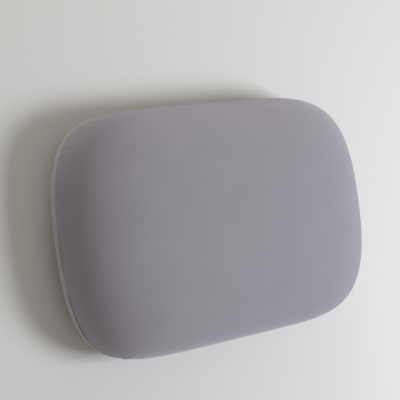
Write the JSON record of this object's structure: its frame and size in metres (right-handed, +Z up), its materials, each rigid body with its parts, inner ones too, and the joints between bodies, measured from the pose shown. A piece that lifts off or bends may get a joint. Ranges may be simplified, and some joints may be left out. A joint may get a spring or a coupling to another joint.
{
  "type": "memory foam neck pillow",
  "caption": "Loaf-shaped memory foam pillow in a smooth knit cover, with a crowned face, full rounded sides and an edge seam sunk all round it.",
  "frame": {"origin": "on the surface the pillow lies on, under the middle of its box", "axes": "+X along the pillow's long side, +Y across it, +Z up out of its crowned face"},
  "size_m": [0.5996, 0.4012, 0.14],
  "materials": {
    "cover_knit": "matte fine stretch knit"
  },
  "bodies": {
    "root": {"pillow": "cover_knit"}
  },
  "joints": []
}
